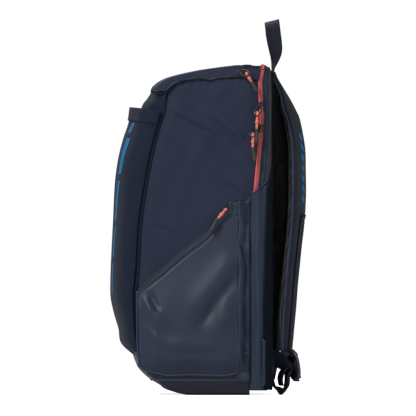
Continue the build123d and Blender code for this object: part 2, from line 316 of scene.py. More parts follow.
def set_inputs(node, **values):
    """Sets a node's inputs by name; an underscore stands for a space."""
    for key, value in values.items():
        node.inputs[key.replace("_", " ")].default_value = value


def new_material(name, roughness, sheen=0.0, specular=0.5):
    mat = bpy.data.materials.new(name)
    mat.use_nodes = True
    shader = mat.node_tree.nodes["Principled BSDF"]
    set_inputs(shader, Roughness=roughness, Sheen_Weight=sheen, Sheen_Roughness=0.4,
               Specular_IOR_Level=specular)
    return mat, mat.node_tree, shader


def texture(tree, kind, source, output, **values):
    """A texture node that is fed by source."""
    node = tree.nodes.new(kind)
    set_inputs(node, **values)
    tree.links.new(source, node.inputs["Vector"])
    return node.outputs[output]


def wave(tree, source, pitch, direction, distortion=0.4):
    """Bands of the given pitch in millimetres."""
    out = texture(tree, "ShaderNodeTexWave", source, "Fac", Scale=1 / (pitch * MM) / 2,
                  Distortion=distortion, Detail=1.0, Detail_Scale=2.0)
    out.node.bands_direction = direction
    return out


def cloud(tree, source, scale, detail=4.0):
    return texture(tree, "ShaderNodeTexNoise", source, "Fac", Scale=scale, Detail=detail,
                   Roughness=0.6)


def blend_values(tree, kind, a, b):
    node = tree.nodes.new("ShaderNodeMath")
    node.operation = kind
    for socket, value in zip(node.inputs, (a, b)):
        if isinstance(value, (int, float)):
            socket.default_value = value
        else:
            tree.links.new(value, socket)
    return node.outputs[0]


def layered(tree, *terms):
    """The sum of (texture, weight) terms."""
    parts = [blend_values(tree, "MULTIPLY", source, weight) for source, weight in terms]
    total = parts[0]
    for part in parts[1:]:
        total = blend_values(tree, "ADD", total, part)
    return total


def ramp(tree, source, stops):
    node = tree.nodes.new("ShaderNodeValToRGB")
    while len(node.color_ramp.elements) < len(stops):
        node.color_ramp.elements.new(0.5)
    for element, (place, colour) in zip(node.color_ramp.elements, stops):
        element.position = place
        element.color = colour
    tree.links.new(source, node.inputs["Fac"])
    return node.outputs["Color"]


def bump(tree, shader, height, strength, depth):
    node = tree.nodes.new("ShaderNodeBump")
    set_inputs(node, Strength=strength, Distance=depth)
    tree.links.new(height, node.inputs["Height"])
    tree.links.new(node.outputs["Normal"], shader.inputs["Normal"])


def coordinates(tree, kind):
    return tree.nodes.new("ShaderNodeTexCoord").outputs[kind]


def tint(tree, shader, source, rgb, shares, places):
    """Colours the shader by source, through three shades of rgb at places of the ramp."""
    colours = [linear([min(255, c * k) for c in rgb]) for k in shares]
    tree.links.new(ramp(tree, source, list(zip(places, colours))), shader.inputs["Base Color"])


def woven(name, rgb, thread=1.1, roughness=0.85, sheen=0.25, contrast=0.22, specular=0.35):
    """Plain-woven cloth: two crossing sets of threads, uneven dye and a soft sheen."""
    mat, tree, shader = new_material(name, roughness, sheen, specular)
    uv = coordinates(tree, "UV")
    weave = blend_values(tree, "MULTIPLY", wave(tree, uv, thread, "X"),
                         wave(tree, uv, thread, "Y"))
    place = coordinates(tree, "Object")
    tone = layered(tree, (weave, 0.45), (cloud(tree, place, 520.0, 2.0), 0.35),
                   (cloud(tree, place, 9.0, 6.0), 0.45))
    tint(tree, shader, tone, rgb, (1 - contrast, 1.0, 1 + contrast), (0.1, 0.45, 0.85))
    bump(tree, shader, tone, 0.5, 0.0004)
    return mat


def coated(name, rgb, roughness):
    """Coated tarpaulin: a fine pebbled grain with a satin gloss and rubbed patches."""
    mat, tree, shader = new_material(name, roughness, specular=0.26)
    place = coordinates(tree, "Object")
    dye = cloud(tree, place, 14.0, 5.0)
    pebble = texture(tree, "ShaderNodeTexVoronoi", place, "Distance", Scale=900.0)
    tint(tree, shader, dye, rgb, (0.86, 1.0, 1.12), (0.3, 0.5, 0.75))
    gloss = ramp(tree, dye, [(0.3, (roughness - 0.06,) * 3 + (1,)),
                             (0.7, (roughness + 0.12,) * 3 + (1,))])
    tree.links.new(gloss, shader.inputs["Roughness"])
    height = blend_values(tree, "ADD", pebble, cloud(tree, place, 160.0))
    bump(tree, shader, height, 0.25, 0.0003)
    return mat


def ribbed(name, rgb, pitch=1.6, axis="Y", sheen=0.2):
    """Webbing: ribs across its run and a herringbone of finer threads."""
    mat, tree, shader = new_material(name, 0.75, sheen, specular=0.2)
    uv = coordinates(tree, "UV")
    tone = layered(tree, (wave(tree, uv, pitch, axis, 0.2), 0.6),
                   (wave(tree, uv, pitch * 0.5, "X" if axis == "Y" else "Y", 0.6), 0.25),
                   (cloud(tree, coordinates(tree, "Object"), 60.0), 0.2))
    tint(tree, shader, tone, rgb, (0.75, 1.0, 1.22), (0.1, 0.5, 0.9))
    bump(tree, shader, tone, 0.7, 0.0005)
    return mat


def netting(name, hole_rgb, knit_rgb):
    """Spacer mesh: rows of round holes through a knit, each hole darker toward its middle as
    painted shade.
    """
    mat, tree, shader = new_material(name, 0.85, 0.02, specular=0.15)
    cells = texture(tree, "ShaderNodeTexVoronoi", coordinates(tree, "Object"), "Distance",
                    Scale=1 / (2.6 * MM), Randomness=0.25)
    # Painted shade: each hole's middle is darker than the hole's own colour
    hole_shade = linear([c * 0.3 for c in hole_rgb])
    stops = [(0.25, hole_shade), (0.4, linear(hole_rgb)), (0.62, linear(knit_rgb))]
    tree.links.new(ramp(tree, cells, stops), shader.inputs["Base Color"])
    bump(tree, shader, cells, 0.9, 0.0012)
    return mat


def moulded(name, rgb, roughness):
    """Moulded plastic, rubber or lacquered metal with a fine spark-eroded texture."""
    mat, tree, shader = new_material(name, roughness)
    place = coordinates(tree, "Object")
    tint(tree, shader, cloud(tree, place, 120.0, 5.0), rgb, (0.85, 1.0, 1.25), (0.35, 0.5, 0.72))
    bump(tree, shader, cloud(tree, place, 900.0, 3.0), 0.2, 0.0002)
    return mat


NAVY = woven("textile_navy", (31, 36, 51), sheen=0.02, specular=0.1)
NAVY_FRONT = woven("textile_front", (17, 24, 37), sheen=0.02, specular=0.1)
COATED = coated("coated_navy", (22, 32, 49), 0.5)
COATED_BASE = coated("coated_base", (14, 19, 31), 0.5)
STRAP = woven("textile_strap", (13, 20, 33), thread=0.9, roughness=0.7, sheen=0.02, specular=0.15)
LINING = woven("lining", (42, 47, 60), thread=0.8, sheen=0.05)
MESH = netting("mesh_black", (5, 5, 5), (44, 46, 48))
# The pads' mesh has a darker knit than the straps' mesh: painted shade for the pads behind the
# straps
SHADED_PAD_MESH = netting("mesh_pad_painted_shade", (4, 4, 5), (21, 22, 25))
# Near-black cloth for the back panel's edges: painted shade for the shadow behind the straps
SHADE_EDGE_CLOTH = woven("textile_edge_painted_shade", (9, 12, 19), sheen=0.0, specular=0.04)
WEB = ribbed("webbing_navy", (11, 16, 28), sheen=0.0)
RIBSTRIP = ribbed("ribbed_strip", (27, 34, 49), pitch=2.2, axis="X", sheen=0.05)
CORAL = ribbed("zip_tape_coral", (178, 84, 82), pitch=1.2, sheen=0.02)
CORAL_DARK = moulded("zip_coil_coral", (140, 52, 52), 0.5)
METAL = moulded("zip_metal", (8, 8, 9), 0.32)
CORD = ribbed("cord_coral", (218, 114, 102), pitch=0.9, sheen=0.02)
RUBBER = moulded("pull_rubber", (14, 14, 16), 0.5)
ZIP_DARK = moulded("zip_coil_dark", (12, 14, 20), 0.65)
BUCKLE = moulded("buckle_plastic", (24, 27, 36), 0.4)
BOARD = moulded("board_plastic", (10, 12, 17), 0.8)
PRINT = woven("print_blue", (5, 88, 132), thread=0.9, roughness=0.6, sheen=0.0, contrast=0.08,
              specular=0.1)
THREAD = moulded("thread_navy", (40, 46, 62), 0.7)
# Piping is painted lighter than the coated panels it edges: a painted highlight along each bead
PIPING_PAINTED_HIGHLIGHT = coated("piping_navy_painted_highlight", (34, 41, 58), 0.4)

# The record's slot that each material fills, where a piece names no other
SLOTS = {
    "textile_navy": (NAVY, NAVY_FRONT, STRAP, SHADE_EDGE_CLOTH, RIBSTRIP),
    "coated_navy": (COATED, COATED_BASE, PIPING_PAINTED_HIGHLIGHT),
    "mesh_black": (MESH, SHADED_PAD_MESH),
    "webbing_navy": (WEB, THREAD),
    "zip_tape_coral": (CORAL, CORAL_DARK),
    "zip_metal": (METAL, ZIP_DARK),
    "cord_coral": (CORD,),
    "pull_rubber": (RUBBER,),
    "buckle_plastic": (BUCKLE,),
    "print_blue": (PRINT,),
}
SLOT_OF = {material.name: slot for slot, group in SLOTS.items() for material in group}


# ---- the body's outline

# Tables of height to depth: the side seam of the slip pocket, the front's middle at the base,
# on the slip pocket and above it. WIDTH is height to half the bag's width.
SEAM = [(0, -20), (8, -48), (20, -68), (40, -92), (64, -101), (98, -106), (150, -108),
        (196, -104), (253, -101), (310, -93), (364, -83), (410, -70), (437, -61), (462, -53)]
FOOT_FRONT = [(0, -31), (2, -41), (8, -60), (14, -68), (20, -78), (26, -87), (38, -99),
              (50, -105), (62, -109), (80, -113)]
POCKET_FRONT = [(62, -109), (70, -119), (80, -127), (98, -129.5), (122, -136.5), (146, -141.5),
                (170, -142), (200, -141), (260, -138), (320, -135), (356, -130), (386, -122.5),
                (410, -114.5), (434, -111)]
TOP_FRONT = [(150, -124), (300, -117), (400, -103), (436, -94), (446, -86), (456, -80)]
WIDTH = [(0, 119), (4, 127), (10, 132), (22, 135.5), (45, 137), (600, 137)]


def plan(s, z, front, seam):
    """A point of the bowed front at height z, for s from -1 (left seam) to 1 (right seam)."""
    a = s * pi / 2
    x = curve(WIDTH, z) * copysign(abs(sin(a)) ** 0.9, s)
    return x, mix(seam, front, max(0.0, cos(a)) ** 0.85)


def seam_y(z):
    return curve(SEAM, z)


def rim_z(y):
    """The lid's seam along the side panel, with the pucker under its middle."""
    line = curve([(-66, 446), (-48, 465), (-18, 473.5), (27, 475.5), (50, 477), (67, 474)], y)
    return line - 3 * bump_at(y, 8, 9)


# ---- fixed cloth panels

def side_top(y):
    under_lid = max(rim_z(min(y, 60)) + 4, 461.0)
    return max(under_lid, curve([(55, 470), (60, 491), (66, 494)], y))


# Creases as (y, z) ends, then how deep; on the pockets breadth and height
TEXTILE_CREASES = [((-50, 430), (20, 396), 1.3), ((10, 425), (70, 372), 1.2),
                   ((-60, 400), (-20, 350), 1.0), ((-80, 264), (-34, 246), 0.5),
                   ((30, 330), (70, 300), 1.0)]
POCKET_CREASES = [((44, 212), (-24, 122), 15, 4.6), ((50, 184), (-10, 102), 9, -4.4),
                  ((40, 128), (6, 84), 11, 2.6), ((-100, 140), (-58, 104), 12, 3.4),
                  ((-98, 104), (-64, 80), 9, 2.2), ((-70, 78), (30, 74), 11, 3.0),
                  ((-93, 152), (-80, 122), 5, 3.0), ((-83, 154), (-70, 126), 5, -3.4)]
CREASE_BREADTH = 5
CREASE_PITCH = 8        # from a crease's ridge down to its valley

# Height to depth: where the side panel ends
REAR_EDGE = [(292, 67.5), (308, 72), (350, 77), (406, 82.2), (441, 80.8), (474, 79.6), (492, 80.5)]


def rear_edge(z):
    """Where the side panel ends: at the side pocket's rear seam, and higher up at the coral zip."""
    return curve(REAR_EDGE, z)


def side_surface(side, y, z):
    """The textile side panel: it swells a little between its seams and creases near them."""
    edge_front = step(0, 22, y - seam_y(z))
    edge_rear = step(0, 16, rear_edge(z) - y)
    edge_top = step(0, 22, side_top(y) - z)
    swell = 2.6 * edge_front * edge_rear * edge_top
    soft = 4.2 * ripple(y + 0.5 * z, z * 0.7, side * 40, 62, 3.1) * edge_front * edge_rear
    soft += 1.5 * ripple(y - 0.8 * z, z, side * 40, 24, 6.2) * edge_front * step(250, 420, z)
    for start, end, depth in TEXTILE_CREASES:
        soft += 3.0 * depth * (crease(y, z, start, end, CREASE_BREADTH)
                               - crease(y, z + CREASE_PITCH, start, end, CREASE_BREADTH))
    fold = 1.1 * bump_at(y - 0.35 * (z - 250), -52, 12) * step(180, 300, z)
    pucker = 1.3 * sin(y * 0.42 + 2 * ripple(y, z, 0, 30)) * (1 - edge_top)
    x = HALF - 3.4 + swell + soft * 0.8 * edge_top + fold + pucker * 0.6 - 2.0 * (1 - edge_front)
    return side * x, y, z


def side_panel(side, u, v):
    y = mix(-60, 80, u)
    for _ in range(6):
        z = mix(30.0, side_top(y), v)
        y = mix(seam_y(z), rear_edge(z), u)
    return side_surface(side, y, z)


for name, side in SIDES.items():
    panel = skin(f"side_textile_{name}", partial(side_panel, side), 96, 150, NAVY, thick=2.0)
    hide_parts(f"side_panel_{name}")

POCKET_LOW, POCKET_TOP = 62, 434
BAND_LOW, BAND_TOP = 413.0, 433.0
BAND_OUT = 1.6


def pocket_surface(s, z, out=0.0):
    """The slip pocket's face, with the broad dents of cloth that stands nearly empty."""
    x, y = plan(s, z, curve(POCKET_FRONT, z), seam_y(z))
    soft = step(POCKET_LOW, 110, z) * step(0, 30, POCKET_TOP - z) * (1 - abs(s) ** 4)
    dent = 1.6 * ripple(x, z, 0, 85, 7.0) * soft + 0.8 * ripple(x, z, 9, 34, 1.0) * soft
    y += dent * step(0.0, 0.25, abs(s))
    lean = hypot(x / HALF, 1)
    return x * (1 + out / HALF * abs(s)), y - out / lean, z


def pocket_shape(u, v):
    return pocket_surface(u * 2 - 1, mix(POCKET_LOW, BAND_LOW + 4, v))


def band_shape(u, v):
    s = u * 2 - 1
    z = mix(BAND_LOW, BAND_TOP, v) - 7 * abs(s) ** 2.2
    x, y, z = pocket_surface(s, z, BAND_OUT)
    return x, y + 0.5 * sin(s * 17), z


def main_front_shape(u, v):
    s = u * 2 - 1
    z = mix(60, 459, v)
    seam = seam_y(z) + 6 * (1 - step(425, 450, z))
    front = curve(TOP_FRONT, z) if z > 150 else curve(FOOT_FRONT, z) + 2
    x, y = plan(s * 0.985, z, front, seam)
    return x * 0.985, y + 0.8 * ripple(x, z, 2, 40, 4), z


for label, shape, count_across, count_up, thick, node in (
        ("front_pocket_textile", pocket_shape, 120, 120, 2.4, "front_pocket_panel"),
        ("front_pocket_band_textile", band_shape, 120, 10, 3.0, "front_pocket_band"),
        ("front_textile", main_front_shape, 80, 80, 2.0, "front_panel")):
    panel = skin(label, shape, count_across, count_up, NAVY_FRONT, thick=thick)
    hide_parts(node)

BASE_MIDDLE = 18        # the depth that the flat base closes on
BASE_LIFT = 0.9         # keeps the coated cloth's thickness off the ground


def outline(k, z, shrink=0.0):
    """Round the front of the bag from the left rear corner to the right rear corner."""
    half, seam = curve(WIDTH, z), seam_y(z)
    if k < 0.25:
        x, y = -half, mix(REAR, seam, k / 0.25)
    elif k > 0.75:
        x, y = half, mix(seam, REAR, (k - 0.75) / 0.25)
    else:
        x, y = plan((k - 0.5) * 4, z, curve(FOOT_FRONT, z), seam)
    return x * (1 - shrink), mix(y, BASE_MIDDLE, shrink), z


def base_shape(u, v):
    """The base: a bowl that closes underneath."""
    wall = 0.75
    if v < wall:
        x, y, z = outline(u, 66 * (1 - v / wall) ** 1.5)
        wave_in = 0.9 * ripple(x, y, z, 28, 2) * step(3, 14, z)
        return x + copysign(wave_in, x), y - abs(wave_in) * 0.4, z + BASE_LIFT
    return tuple(np.add(outline(u, 0, (v - wall) / (1 - wall) * 0.98), (0, 0, BASE_LIFT)))


base = skin("base_coated", base_shape, 160, 70, COATED_BASE)
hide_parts("base_panel")

for label, height in (("low", 22.5), ("foot", 64.0)):
    line = sampled(lambda k: outline(k, height), 0, 1, 161)
    tube(f"base_piping_{label}", [(x * 1.004, y * 1.004, z) for x, y, z in line], 1.5, PIPING_PAINTED_HIGHLIGHT)

# Inner panels keep their CAD shape and take a finished material.
for node, material in {"divider_panel": LINING, "racket_floor": COATED, "back_board": BOARD,
                       "base_board": BOARD, "racket_gusset_top": NAVY}.items():
    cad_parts[node].data.materials.clear()
    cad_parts[node].data.materials.append(material)


# ---- side pockets

# Depth to height: the pocket's foot and its mouth
POCKET_FOOT = [(-98, 44), (-92, 38), (-76, 34), (-56, 30), (-23, 31), (32, 30), (49, 34)]
MOUTH = [(-102, 158.5), (-96, 164.5), (-62, 191.5), (-30, 219), (6, 247), (24, 270), (35, 284),
         (42, 290), (50, 293)]
POCKET_FRONT_EDGE, POCKET_REAR = -101.5, 49.0


def pocket_out(side, y, z):
    """How far out the coated pocket stands, with long soft folds in the coated cloth."""
    foot, mouth = curve(POCKET_FOOT, y), curve(MOUTH, y)
    hem = mouth - z
    rise = step(-2, 26, z - foot)
    fall = 1 - 0.92 * step(0, 1, 1 - hem / max(12, mouth - 105))
    front = step(POCKET_FRONT_EDGE - 1, POCKET_FRONT_EDGE + 30, y)
    rear = 1 - 0.22 * step(POCKET_REAR - 26, POCKET_REAR + 1, y)
    room = rise * fall * front * rear
    out = (BULGE - HALF - 2.2) * room
    diagonal = 0.72 * (y + 30) + (z - 150)
    out += room * 1.6 * sin(diagonal / 24 + 1.6 * ripple(y, z, side * 20, 70, 2.2))
    out += room * 0.8 * ripple(y, z * 0.4, side * 30, 26, 5.0)
    for start, end, breadth, height in POCKET_CREASES:
        out += height * crease(y, z, start, end, breadth) * min(1, fall * rise * 2)
    out -= 1.3 * bump_at(hem, 11.5, 1.8) * front
    out += 1.1 * bump_at(hem, 5.5, 4.0) * front
    return side * (HALF + 0.9 + out)


def pocket_coat(side, u, v):
    y = mix(POCKET_FRONT_EDGE, POCKET_REAR, u)
    z = mix(curve(POCKET_FOOT, y), curve(MOUTH, y) - 2.5, v)
    y += 2.5 * (1 - v) * (1 - u) ** 6
    return pocket_out(side, y, z), y, z


def pocket_bellows(side, u, v):
    z = mix(20, 292, v)
    edge = abs(pocket_out(side, POCKET_REAR, max(z, 36))) - 0.8
    edge = mix(edge, HALF + 0.5, 1 - step(18, 40, z))
    y = mix(POCKET_REAR - 1, 66.5, u)
    pleat = 3.0 * sin(u * 2 * pi + 0.8 * ripple(0, z, side, 40)) * step(20, 60, z)
    tuck = 4.0 * ripple(y * 2.0 + 0.6 * z, z * 0.8, side * 11, 20, 8.0) * u * (1 - u) * 4
    return side * (mix(edge, HALF + 0.6, u ** 1.2) + pleat + tuck), y, z


def bends_with_mouth(piece):
    """Bakes the piece's placement into its mesh; the piece is not bent at the pocket's mouth."""
    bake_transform(piece)


def pocket_line(side, below, out, start, end, count):
    """A line on the coated pocket that runs below its mouth."""
    def point(y):
        z = curve(MOUTH, y) - below
        return pocket_out(side, y, z) + side * out, y, z
    return sampled(point, start, end, count)


for name, side in SIDES.items():
    coat = skin(f"pocket_coated_{name}", partial(pocket_coat, side), 90, 100, COATED, None, 1.4)
    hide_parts(f"side_pocket_{name}", f"pocket_flap_{name}")
    bends_with_mouth(coat)
    pleats = skin(f"pocket_pleats_{name}", partial(pocket_bellows, side), 28, 90, COATED, thick=1.2)
    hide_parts(f"pocket_bellows_{name}")

    rim = pocket_line(side, 1.6, 0.6, POCKET_FRONT_EDGE + 1, POCKET_REAR, 80)
    bends_with_mouth(tube(f"pocket_lip_{name}", rim, 1.3, COATED, None))

    def rear_point(t):
        z = mix(34, 268, t)
        y = POCKET_REAR - 0.5 - 1.6 * sin(t * pi)
        return pocket_out(side, POCKET_REAR - 1, z) + side * 0.8, y, z

    def foot_point(y):
        z = curve(POCKET_FOOT, y)
        return pocket_out(side, y, z + 1) + side * 0.7, y, z

    def front_point(z):
        y = POCKET_FRONT_EDGE - 0.6 + 3.0 * step(90, 40, z)
        return pocket_out(side, POCKET_FRONT_EDGE + 1, z) + side * 0.6, y, z

    def coil_point(y):
        z = curve(MOUTH, y) + 1.6
        return side_surface(side, y, z)[0] + side * 1.2, y, z

    rear_bead = sampled(rear_point, 0, 1, 90)
    bends_with_mouth(tube(f"pocket_rear_piping_{name}", rear_bead, 1.3, PIPING_PAINTED_HIGHLIGHT, None))
    foot_bead = sampled(foot_point, POCKET_FRONT_EDGE, POCKET_REAR, 60)
    tube(f"pocket_foot_piping_{name}", foot_bead, 1.5, PIPING_PAINTED_HIGHLIGHT)
    tube(f"pocket_front_piping_{name}", sampled(front_point, 156, 43, 50), 1.4, PIPING_PAINTED_HIGHLIGHT)
    hem = pocket_line(side, 12.5, 1.0, POCKET_FRONT_EDGE + 22, POCKET_REAR - 4, 120)
    bends_with_mouth(stitching(f"pocket_hem_stitches_{name}", hem, None))
    # The zip between the mouth and the side panel
    coil = sampled(coil_point, POCKET_FRONT_EDGE + 3, POCKET_REAR - 1, 100)
    tube(f"pocket_zip_coil_{name}", coil, 1.25, ZIP_DARK, flat=0.7)


# ---- racket compartment

# Height to depth: the zip's middle line; depth to height: the coated strip's top
ZIP_MIDDLE = [(300, 75.4), (312, 76.3), (350, 80), (406, 85), (441, 83.8), (458, 82.9),
              (468, 82.8), (477, 83.9), (487, 85.8), (497, 86.8)]
STRIP_TOP = [(67, 299), (82, 311), (97, 324)]
ZIP_HALF = 3.1
ZIP_CORNER = 10         # radius of the zip's turn from each side onto the top
# Height to depth: the gusset's rear seam
GUSSET_REAR = [(7, 90.5), (88, 90), (160, 91), (265, 93.8), (322, 97), (350, 100.5), (440, 101),
               (484, 100)]


def gusset_rear(z):
    return curve(GUSSET_REAR, z)


def gusset_surface(side, y, z):
    """The coated strip has a soft vertical ridge; the woven one above it lies flatter."""
    ridge = 4.4 * bump_at(y, 79 + 2 * ripple(0, z, side * 3, 90), 5.5) * step(8, 60, z)
    sag = 0.9 * ripple(y * 1.4, z, side * 5, 42, 6.0)
    tuck = 2.4 * (1 - step(67, 72, y)) + 2.2 * step(gusset_rear(z) - 6, gusset_rear(z), y)
    return side * (HALF - 0.4 + ridge + sag - tuck), y, z


def lower_gusset(side, u, v):
    z = mix(7.5, curve(STRIP_TOP, mix(67, gusset_rear(150), u)), v)
    return gusset_surface(side, mix(66.8, gusset_rear(z), u), z)


def upper_gusset(side, u, v):
    z = mix(mix(301, 321, u), mix(493, 485.5, u), v)
    y = mix(curve(ZIP_MIDDLE, z) + 2.8, gusset_rear(z), u)
    rib = 0.7 * sin(u * 2 * pi * 3)
    dent = 1.4 * ripple(y, z, side * 9, 36, 3.0)
    corner = 5 * step(470, 490, z) * u
    return side * (HALF - 1.2 + rib + dent - corner), y, z


def back_edge(side, u, v):
    """The narrow side of the padded back, behind the gusset, in near-black cloth that is painted
    shade.
    """
    z = mix(8, TOP - 9, v)
    y = mix(gusset_rear(z) - 1, BACK + 0.9, u)
    return side * (HALF + 0.7 - 1.0 * u ** 8 + 0.6 * ripple(y, z, side, 30, 4)), y, z


def zip_place(side, z, across, out):
    return side * (HALF - 0.6 + out), curve(ZIP_MIDDLE, z) + across, z


def zip_over_top(x, across, out):
    """The zip where it crosses the top, in a rounded corner at each end."""
    edge = max(0.0, abs(x) - (HALF - ZIP_CORNER))
    drop = ZIP_CORNER - sqrt(max(0, ZIP_CORNER ** 2 - edge * edge))
    ahead = curve([(0, 86.5), (118, 86.4), (137, 86)], abs(x))
    return x, ahead + across, TOP + 1.0 + out - drop


def zip_teeth(name, place, starts, run, ends, out, radius, body="bag"):
    """Teeth across a zip, between two ends: each leans along the zip by run."""
    verts, faces = [], []
    for start in starts:
        rod_into(verts, faces, place(start, ends[0], out), place(start + run, ends[1], out),
                 radius)
    finish_mesh(name, verts, faces, CORAL_DARK, body)


for name, side in SIDES.items():
    low = skin(f"gusset_coated_{name}", partial(lower_gusset, side), 30, 110, COATED, thick=1.4)
    high = skin(f"gusset_ribbed_{name}", partial(upper_gusset, side), 40, 70, RIBSTRIP, thick=1.4)
    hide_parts(f"racket_gusset_{name}")
    tape = skin(f"racket_zip_{name}",
                lambda u, v: zip_place(side, mix(302, 488, v), mix(-ZIP_HALF, ZIP_HALF, u),
                                       0.72 * (1 - abs(2 * u - 1))),
                6, 70, CORAL, thick=0.8)
    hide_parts(f"racket_zip_tape_{name}")
    zip_teeth(f"racket_zip_coil_{name}", lambda z, across, out: zip_place(side, z, across, out),
              [303 + i * 1.85 for i in range(100)], 0.5, (-1.5, 1.5), 1.1, 0.62)
    skin(f"back_edge_{name}", partial(back_edge, side), 10, 80, SHADE_EDGE_CLOTH, thick=1.4)
    # The ridge of piping where the gusset meets the back panel, in the same near-black cloth as
    # painted shade
    edge = [(side * (HALF - 2.2), gusset_rear(z) + 0.6, z) for z in range(10, 486, 6)]
    tube(f"back_piping_{name}", edge, 1.4, SHADE_EDGE_CLOTH, slot="coated_navy")
    seam = [gusset_surface(side, y, curve(STRIP_TOP, y)) for y in np.linspace(68, 93, 20)]
    tube(f"gusset_seam_{name}", [(x + side * 0.9, y, z) for x, y, z in seam], 1.1, PIPING_PAINTED_HIGHLIGHT)

# The front half of the top zip stays on the bag and the rear half turns with the cap.
halves = {"front": (-ZIP_HALF, -0.1, "bag", 0), "rear": (0.1, ZIP_HALF, "racket_cap", 1.92)}
for label, (near, far, body, shift) in halves.items():
    skin(f"top_zip_{label}",
         lambda u, v: zip_over_top(mix(-HALF + 0.6, HALF - 0.6, v), mix(near, far, u),
                                   0.4 * (u if label == "front" else 1 - u)),
         4, 150, CORAL, body, 0.8)
    zip_teeth(f"top_zip_teeth_{label}", zip_over_top, [-134 + i * 3.84 + shift for i in range(70)],
              0.4, (near * 0.4, far * 0.4), 0.9, 0.7, body)


def cap_shape(u, v):
    x = mix(-HALF + 2, HALF - 2, v)
    _, y, z = zip_over_top(x, ZIP_HALF - 0.4, 0)
    return x, mix(y, BACK + 0.6, u), z - 10.5 * u + sin(u * pi)


cap = skin("racket_cap_cloth", cap_shape, 10, 120, NAVY, "racket_cap")
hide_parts("racket_cap")


def back_cloth_shape(u, v):
    x = mix(-HALF + 2.5, HALF - 2.5, u)
    z = mix(9, TOP - 8, v)
    bow = 0.48 * ripple(x, 0, z, 60, 2)
    lean = 1.2 * step(478, TOP - 8, z)
    round_off = 1.6 * step(HALF - 12, HALF, abs(x))
    return x, BACK + 0.9 + bow - lean - round_off, z


skin("back_cloth", back_cloth_shape, 70, 110, NAVY, thick=1.2)


# ---- the lid

# Depth to height: the lid's top along its middle
LID_TOP = [(-82, 456.5), (-80.5, 461), (-77, 465), (-70, 470.3), (-58, 475.8), (-33, 482),
           (-3, 488), (45, 494), (60, 494.5)]
LID_REAR = 60.5
LID_WALL = 0.1          # each side wall's share of the way across


def lid_wall_foot(y):
    return max(rim_z(y) + 1.2, 456.5)


def bowed(s, sides, middle):
    """Depth of a bowed front edge that stands further out in its middle."""
    return mix(sides, middle, max(0.0, cos(s * pi / 2)) ** 0.85)


def lid_shape(u, v):
    """Across the lid from one side wall, over the top, to the other side wall."""
    s = u * 2 - 1
    y = mix(bowed(s, -73, -81.5), LID_REAR, v)
    top = curve(LID_TOP, mix(-82, LID_REAR, v))
    if abs(s) > 1 - LID_WALL:
        t = (abs(s) - (1 - LID_WALL)) / LID_WALL
        x = HALF + 0.8 - 2.4 * (1 - t) ** 3
        z = mix(top - 1.2, min(lid_wall_foot(y), top - 2), t)
        x += 0.7 * sin(y * 0.3 + 3 * ripple(y, z, 0, 40)) * sin(t * pi)
    else:
        t = abs(s) / (1 - LID_WALL)
        x = (HALF - 1.6) * t
        crown = 0.7 * (1 - t ** 4)
        z = top - 1.4 * t ** 8 + crown * step(-82, -30, y) * step(0, 14, 61 - y)
        z += 0.7 * ripple(x, y, 0, 55, 9) * step(0, 20, 61 - y) * (1 - t ** 6)
    return copysign(x, s), y, z


lid_cloth = skin("lid_cloth", lid_shape, 150, 80, NAVY, "lid", 2.6)
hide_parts("lid")


def lip_shape(u, v):
    s = u * 2 - 1
    y = mix(bowed(s, -73.5, -82), bowed(s, -54, -64), v)
    dip = 4.6 * sin(min(v / 0.3, 1) * pi / 2)
    return s * (HALF - 0.3), y, 458 - dip + 4.5 * step(0.4, 1, v)


skin("lid_lip", lip_shape, 110, 12, NAVY, "lid", 2.2)
hinge_cloth = skin("lid_hinge_cloth",
                   lambda u, v: (mix(-HALF + 3, HALF - 3, u), mix(56, 70, v),
                                 TOP + 0.7 + 0.5 * sin(v * pi)),
                   60, 14, NAVY, None, 1.2)
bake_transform(hinge_cloth)


def shoulder(side, u, v):
    """The cloth between the lid's rear end and the coral zip: over the corner and down."""
    turn = min(1.0, v / 0.55) * pi / 2
    tucked = 1.1 * (1 - step(60, 63, mix(57.5, 82, u)))
    x = HALF - 9.5 + (10.1 - tucked) * sin(turn)
    z = TOP - 8.5 + (9.3 - tucked) * cos(turn) - 2.0 * u
    z = mix(z, 473.5, max(0, (v - 0.55) / 0.45))
    return side * x, mix(57.5, curve(ZIP_MIDDLE, z) - ZIP_HALF + 0.7, u), z


def lid_line(side, share, out, up):
    """A line along the lid from front to rear, at a share of the way out to its side."""
    def point(v):
        x, y, z = lid_shape(0.5 + side * 0.5 * share, v)
        return x + side * out, y, z + up
    return sampled(point, 0, 1, 100)


for name, side in SIDES.items():
    skin(f"shoulder_{name}", partial(shoulder, side), 12, 24, NAVY, thick=1.4)
    tube(f"lid_piping_{name}", lid_line(side, 0.895, 0.6, 0.6), 1.1, NAVY, "lid")
    tube(f"main_zip_coil_{name}", lid_line(side, 1.0, 0.5, 1.0), 1.3, ZIP_DARK, "lid", flat=0.7)


# ---- back pads

PAD_HALF = 99.0
PAD_PUFF = 3.0          # how far the cloth may be blown out
# Height to depth: the pads' outer face
PAD_FACE = [(18, 104), (60, 111.8), (100, 113), (128, 114), (176, 117.4), (224, 121.8),
            (272, 126), (320, 127.2), (368, 126), (392, 123.6), (404, 120.8), (416, 117),
            (440, 111.4), (470, 106)]
PAD_ROOT = BACK + 0.6
PAD_THINNEST = 5.0
CHANNEL_DEPTH = 0.5     # as a share of the pad's depth


